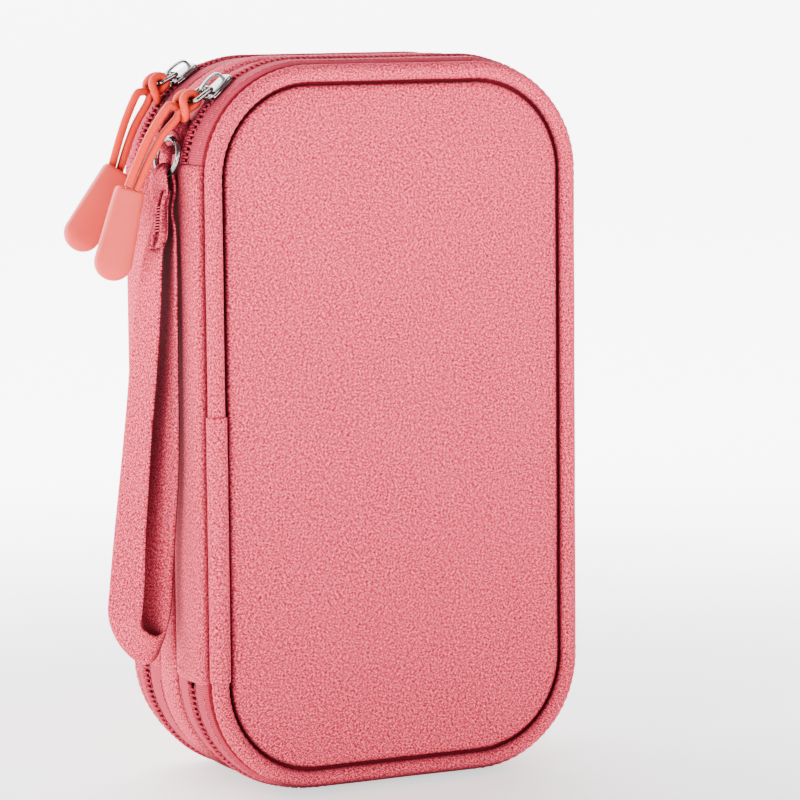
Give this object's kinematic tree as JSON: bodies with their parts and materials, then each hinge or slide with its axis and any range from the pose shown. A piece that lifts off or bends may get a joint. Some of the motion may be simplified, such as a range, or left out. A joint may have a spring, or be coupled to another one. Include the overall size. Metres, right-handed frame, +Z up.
{
  "type": "cable organizer pouch",
  "caption": "Upright zip-around travel pouch with two padded covers on a cloth spine, a pocketed middle page, corner-parked sliders with rubber pulls and a wrist strap.",
  "frame": {"origin": "middle of the bottom edge of the middle gusset, on the surface that the pouch stands on", "axes": "+Z up, front cover towards -Y, spine towards -X, zip mouth towards +X"},
  "size_m": [0.1333, 0.058, 0.192],
  "materials": {
    "cloth": "heathered polyester weave",
    "zip_tape": "plain woven zip tape",
    "zip_teeth": "nylon coil",
    "lining": "smooth grey lining",
    "mesh": "fine grey mesh",
    "elastic": "ribbed grey elastic",
    "metal": "polished nickel plate",
    "cord": "smooth coral braid",
    "rubber": "matte salmon rubber",
    "foam": "moulded foam board"
  },
  "bodies": {
    "middle": {"divider_page": "lining", "page_pocket_top": "mesh", "page_pocket_middle": "mesh", "page_pocket_bottom": "mesh", "page_pocket_bands": "elastic", "middle_gusset": "cloth", "front_tape_inner": "zip_tape", "front_teeth_inner": "zip_teeth", "front_spine_strip": "cloth", "rear_tape_inner": "zip_tape", "rear_teeth_inner": "zip_teeth", "rear_spine_strip": "cloth", "strap_tab": "cloth"},
    "front_cover": {"front_panel": "cloth", "front_foam": "foam", "front_piping": "cloth", "front_tape_outer": "zip_tape", "front_teeth_outer": "zip_teeth", "front_spine_panel": "cloth", "front_lining": "lining", "front_mesh_pocket": "mesh", "front_pocket_top_band": "elastic", "front_pocket_cross_band": "elastic", "front_pocket_upright_band": "elastic"},
    "rear_cover": {"rear_panel": "cloth", "rear_foam": "foam", "rear_piping": "cloth", "rear_tape_outer": "zip_tape", "rear_teeth_outer": "zip_teeth", "rear_spine_panel": "cloth", "rear_lining": "lining", "rear_mesh_pocket": "mesh", "rear_pocket_band": "elastic"},
    "front_slider": {"front_slider": "metal"},
    "front_puller": {"front_puller": "metal"},
    "front_pull": {"front_pull_cord": "cord", "front_grip": "rubber"},
    "rear_slider": {"rear_slider": "metal"},
    "rear_puller": {"rear_puller": "metal"},
    "rear_pull": {"rear_pull_cord": "cord", "rear_grip": "rubber"},
    "strap_ring": {"strap_ring": "metal"},
    "wrist_strap": {"wrist_strap": "cloth"}
  },
  "joints": [
    {"name": "front_cover_hinge", "type": "hinge", "parent": "middle", "child": "front_cover", "pos_m": [-0.056, -0.0155, 0.097], "axis": [0, 0, 1], "range_deg": [-90, 0]},
    {"name": "rear_cover_hinge", "type": "hinge", "parent": "middle", "child": "rear_cover", "pos_m": [-0.056, 0.0155, 0.097], "axis": [0, 0, 1], "range_deg": [0, 90]},
    {"name": "front_slider_run", "type": "hinge", "parent": "middle", "child": "front_slider", "pos_m": [-0.024, -0.0155, 0.161], "axis": [0, 1, 0], "range_deg": [-5, 41]},
    {"name": "rear_slider_run", "type": "hinge", "parent": "middle", "child": "rear_slider", "pos_m": [-0.024, 0.0155, 0.161], "axis": [0, 1, 0], "range_deg": [-13, 34]},
    {"name": "front_puller_flip", "type": "hinge", "parent": "front_slider", "child": "front_puller", "pos_m": [-0.04759, -0.0155, 0.18436], "axis": [0, 1, 0], "range_deg": [0, 105]},
    {"name": "rear_puller_flip", "type": "hinge", "parent": "rear_slider", "child": "rear_puller", "pos_m": [-0.04411, 0.0155, 0.18742], "axis": [0, 1, 0], "range_deg": [0, 105]},
    {"name": "front_pull_swing", "type": "hinge", "parent": "front_puller", "child": "front_pull", "pos_m": [-0.05207, -0.014, 0.18134], "axis": [0, 1, 0], "range_deg": [0, 60]},
    {"name": "rear_pull_swing", "type": "hinge", "parent": "rear_puller", "child": "rear_pull", "pos_m": [-0.04897, 0.014, 0.18505], "axis": [0, 1, 0], "range_deg": [0, 60]},
    {"name": "ring_swing", "type": "hinge", "parent": "middle", "child": "strap_ring", "pos_m": [-0.056, -0.0108, 0.1717], "axis": [-0.2079, 0.9781, 0], "range_deg": [0, 5]},
    {"name": "strap_slide", "type": "hinge", "parent": "strap_ring", "child": "wrist_strap", "pos_m": [-0.05697, -0.01101, 0.16705], "axis": [-0.9568, -0.2034, 0.2079], "range_deg": [-22, 1]}
  ]
}
